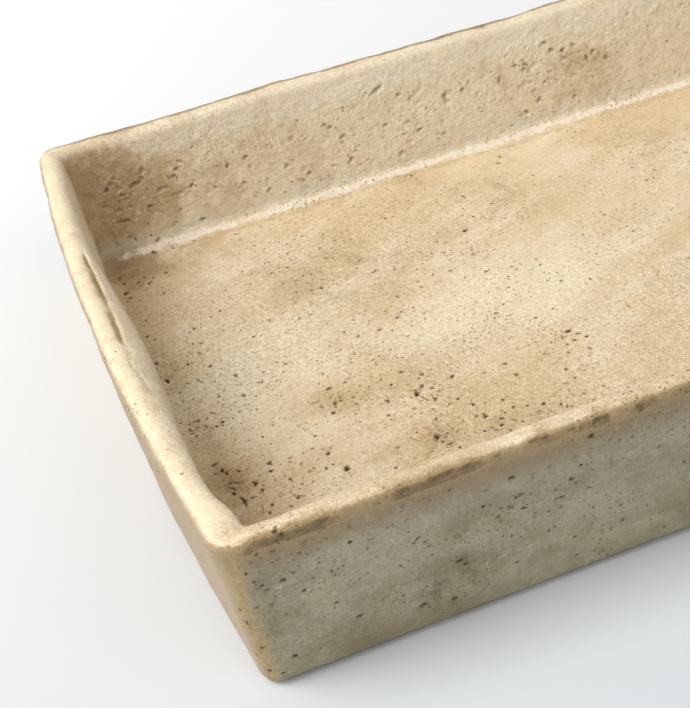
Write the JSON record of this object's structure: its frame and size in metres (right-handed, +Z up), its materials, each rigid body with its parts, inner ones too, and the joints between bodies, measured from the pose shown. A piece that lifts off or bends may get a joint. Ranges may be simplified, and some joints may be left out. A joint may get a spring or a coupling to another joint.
{
  "type": "earthenware tray",
  "caption": "Shallow rectangular earthenware tray, slab-built, with low leaning walls, a rounded uneven rim and smoothed coils in its inner seams, for carrying and sorting small things.",
  "frame": {"origin": "on the surface that the tray stands on, under the middle of its bounding box", "axes": "+X along the length from the left wall to the right wall, +Y from the front wall to the back wall, +Z up"},
  "size_m": [0.3514, 0.2402, 0.0504],
  "materials": {
    "floor_glaze": "matte sandy glaze with brown pits, bare clay underneath",
    "wall_glaze": "matte sandy glaze, clouded, browner where it is thin at the edges",
    "coil_glaze": "paler matte glaze, pooled in the seams"
  },
  "bodies": {
    "root": {"base_slab": "floor_glaze", "front_wall": "wall_glaze", "back_wall": "wall_glaze", "left_wall": "wall_glaze", "right_wall": "wall_glaze", "front_floor_coil": "coil_glaze", "back_floor_coil": "coil_glaze", "left_floor_coil": "coil_glaze", "right_floor_coil": "coil_glaze", "front_left_corner_coil": "coil_glaze", "front_right_corner_coil": "coil_glaze", "back_left_corner_coil": "coil_glaze", "back_right_corner_coil": "coil_glaze"}
  },
  "joints": []
}
